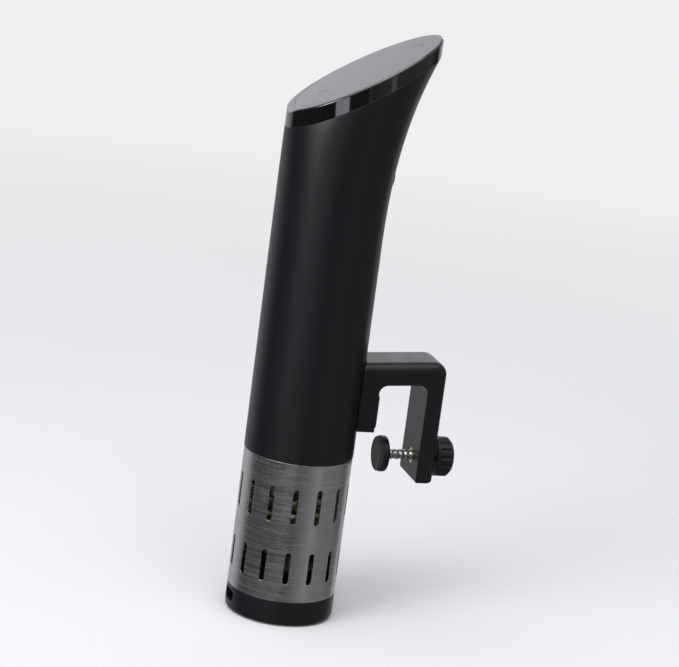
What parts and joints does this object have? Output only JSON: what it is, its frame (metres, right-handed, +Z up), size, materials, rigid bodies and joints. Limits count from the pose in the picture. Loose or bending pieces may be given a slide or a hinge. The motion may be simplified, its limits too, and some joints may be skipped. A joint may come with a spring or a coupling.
{
  "type": "sous vide circulator",
  "caption": "Upright immersion circulator with a flared body, slanted gloss display, slotted steel skirt over a heater and impeller, and a screw clamp that slides on a back rail.",
  "frame": {"origin": "centre of the flat base, at the foot of the body's axis", "axes": "+Z up the body's axis, -Y the front where the slanted display is lowest, +Y the back where the clamp is, +X across"},
  "size_m": [0.06, 0.1169, 0.3243],
  "materials": {
    "satin_black": "satin, very fine texture",
    "gloss_black": "mirror gloss",
    "black_glass": "polished, back-printed black",
    "black_rubber": "matte",
    "steel": "brushed",
    "grey_plastic": "moulded",
    "dark_plastic": "moulded",
    "white_plastic": "machined bearing plastic",
    "board_green": "solder mask",
    "laminations": "varnished steel sheets and copper wire",
    "magnet": "sintered",
    "can_aluminium": "drawn",
    "brass": "turned"
  },
  "bodies": {
    "housing": {"main_housing": "satin_black", "rear_rail": "satin_black", "cord_grommet": "black_rubber", "display_cap": "gloss_black", "display_glass": "black_glass", "display_board": "board_green", "digit_module": "dark_plastic", "buzzer": "dark_plastic", "cap_seal": "black_rubber", "bulkhead": "grey_plastic", "bulkhead_seal": "black_rubber", "shaft_seal": "black_rubber", "bulkhead_screws": "steel", "skirt_seal": "black_rubber", "heater_coil": "steel", "heater_nuts": "steel", "temperature_probe": "steel", "level_probes": "steel", "shaft_column": "grey_plastic", "lower_bush": "white_plastic", "motor_can": "steel", "motor_end_bell": "steel", "motor_stator": "laminations", "motor_bearings": "steel", "motor_screws": "steel", "chassis": "grey_plastic", "power_board": "board_green", "board_screws": "steel", "transformer": "laminations", "capacitors": "can_aluminium", "relay": "dark_plastic", "heat_sink": "can_aluminium"},
    "rotor": {"drive_shaft": "steel", "motor_magnet": "magnet", "cooling_fan": "grey_plastic", "impeller": "grey_plastic", "impeller_nut": "steel"},
    "skirt": {"skirt": "steel", "end_cap": "satin_black"},
    "clamp": {"clamp_bracket": "satin_black", "jaw_pad": "black_rubber", "rail_tongue": "grey_plastic", "tongue_screws": "steel", "thread_insert": "brass"},
    "pad": {"pressure_pad": "satin_black", "pad_facing": "black_rubber"},
    "screw": {"clamp_screw": "steel", "clamp_knob": "satin_black", "knob_disc": "gloss_black"}
  },
  "joints": [
    {"name": "rotor_spin", "type": "hinge", "parent": "housing", "child": "rotor", "pos_m": [0, 0, 0.1], "axis": [0, 0, 1], "continuous": true},
    {"name": "skirt_slide", "type": "slide", "parent": "housing", "child": "skirt", "axis": [0, 0, -1], "range_m": [0, 0.12]},
    {"name": "clamp_slide", "type": "slide", "parent": "housing", "child": "clamp", "axis": [0, 0, 1], "range_m": [-0.011, 0.055]},
    {"name": "pad_slide", "type": "slide", "parent": "clamp", "child": "pad", "axis": [0, 1, 0], "range_m": [-0.00225, 0.01385]},
    {"name": "screw_turn", "type": "hinge", "parent": "pad", "child": "screw", "pos_m": [0, 0.06, 0.092], "axis": [0, 1, 0], "range_deg": [-264, 1656]}
  ],
  "couplings": [
    {"joint": "pad_slide", "follows": "screw_turn", "m_per_rad": 0.00047746}
  ]
}
